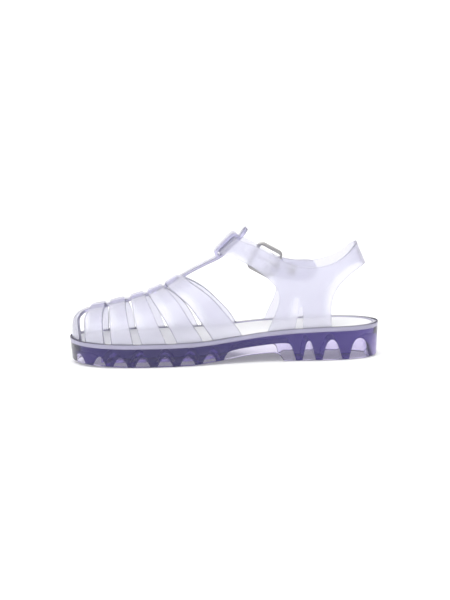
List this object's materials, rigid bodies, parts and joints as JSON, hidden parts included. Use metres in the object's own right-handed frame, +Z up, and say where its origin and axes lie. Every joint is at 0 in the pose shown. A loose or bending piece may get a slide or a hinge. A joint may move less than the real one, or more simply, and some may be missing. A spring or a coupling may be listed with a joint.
{
  "type": "moulded jelly sandal with caged toe, T-bar and buckled ankle strap",
  "caption": "Clear lilac moulded sandal: caged closed toe, T-bar with a loop, buckled ankle strap, tinted ribbed sole, white insole.",
  "frame": {"origin": "on the ground, under the middle of the sandal's bounding box", "axes": "+Z up; -X towards the toe, +X towards the heel; +Y towards the outer side with the buckle, -Y towards the inner side (a right shoe)"},
  "size_m": [0.2499, 0.093, 0.1056],
  "materials": {
    "clear_pvc": "clear soft PVC with a faint lilac tint, frosted sheen",
    "tinted_pvc": "clear soft PVC tinted violet, glossy",
    "white_foam": "white, fine matt grain",
    "buckle_metal": "plated, slightly dulled"
  },
  "bodies": {
    "root": {"outsole": "tinted_pvc", "insole": "white_foam", "upper_front_cage": "clear_pvc", "upper_rear_strap": "clear_pvc", "buckle_frame": "buckle_metal", "buckle_prong": "buckle_metal", "strap_rivet": "buckle_metal"}
  },
  "joints": []
}
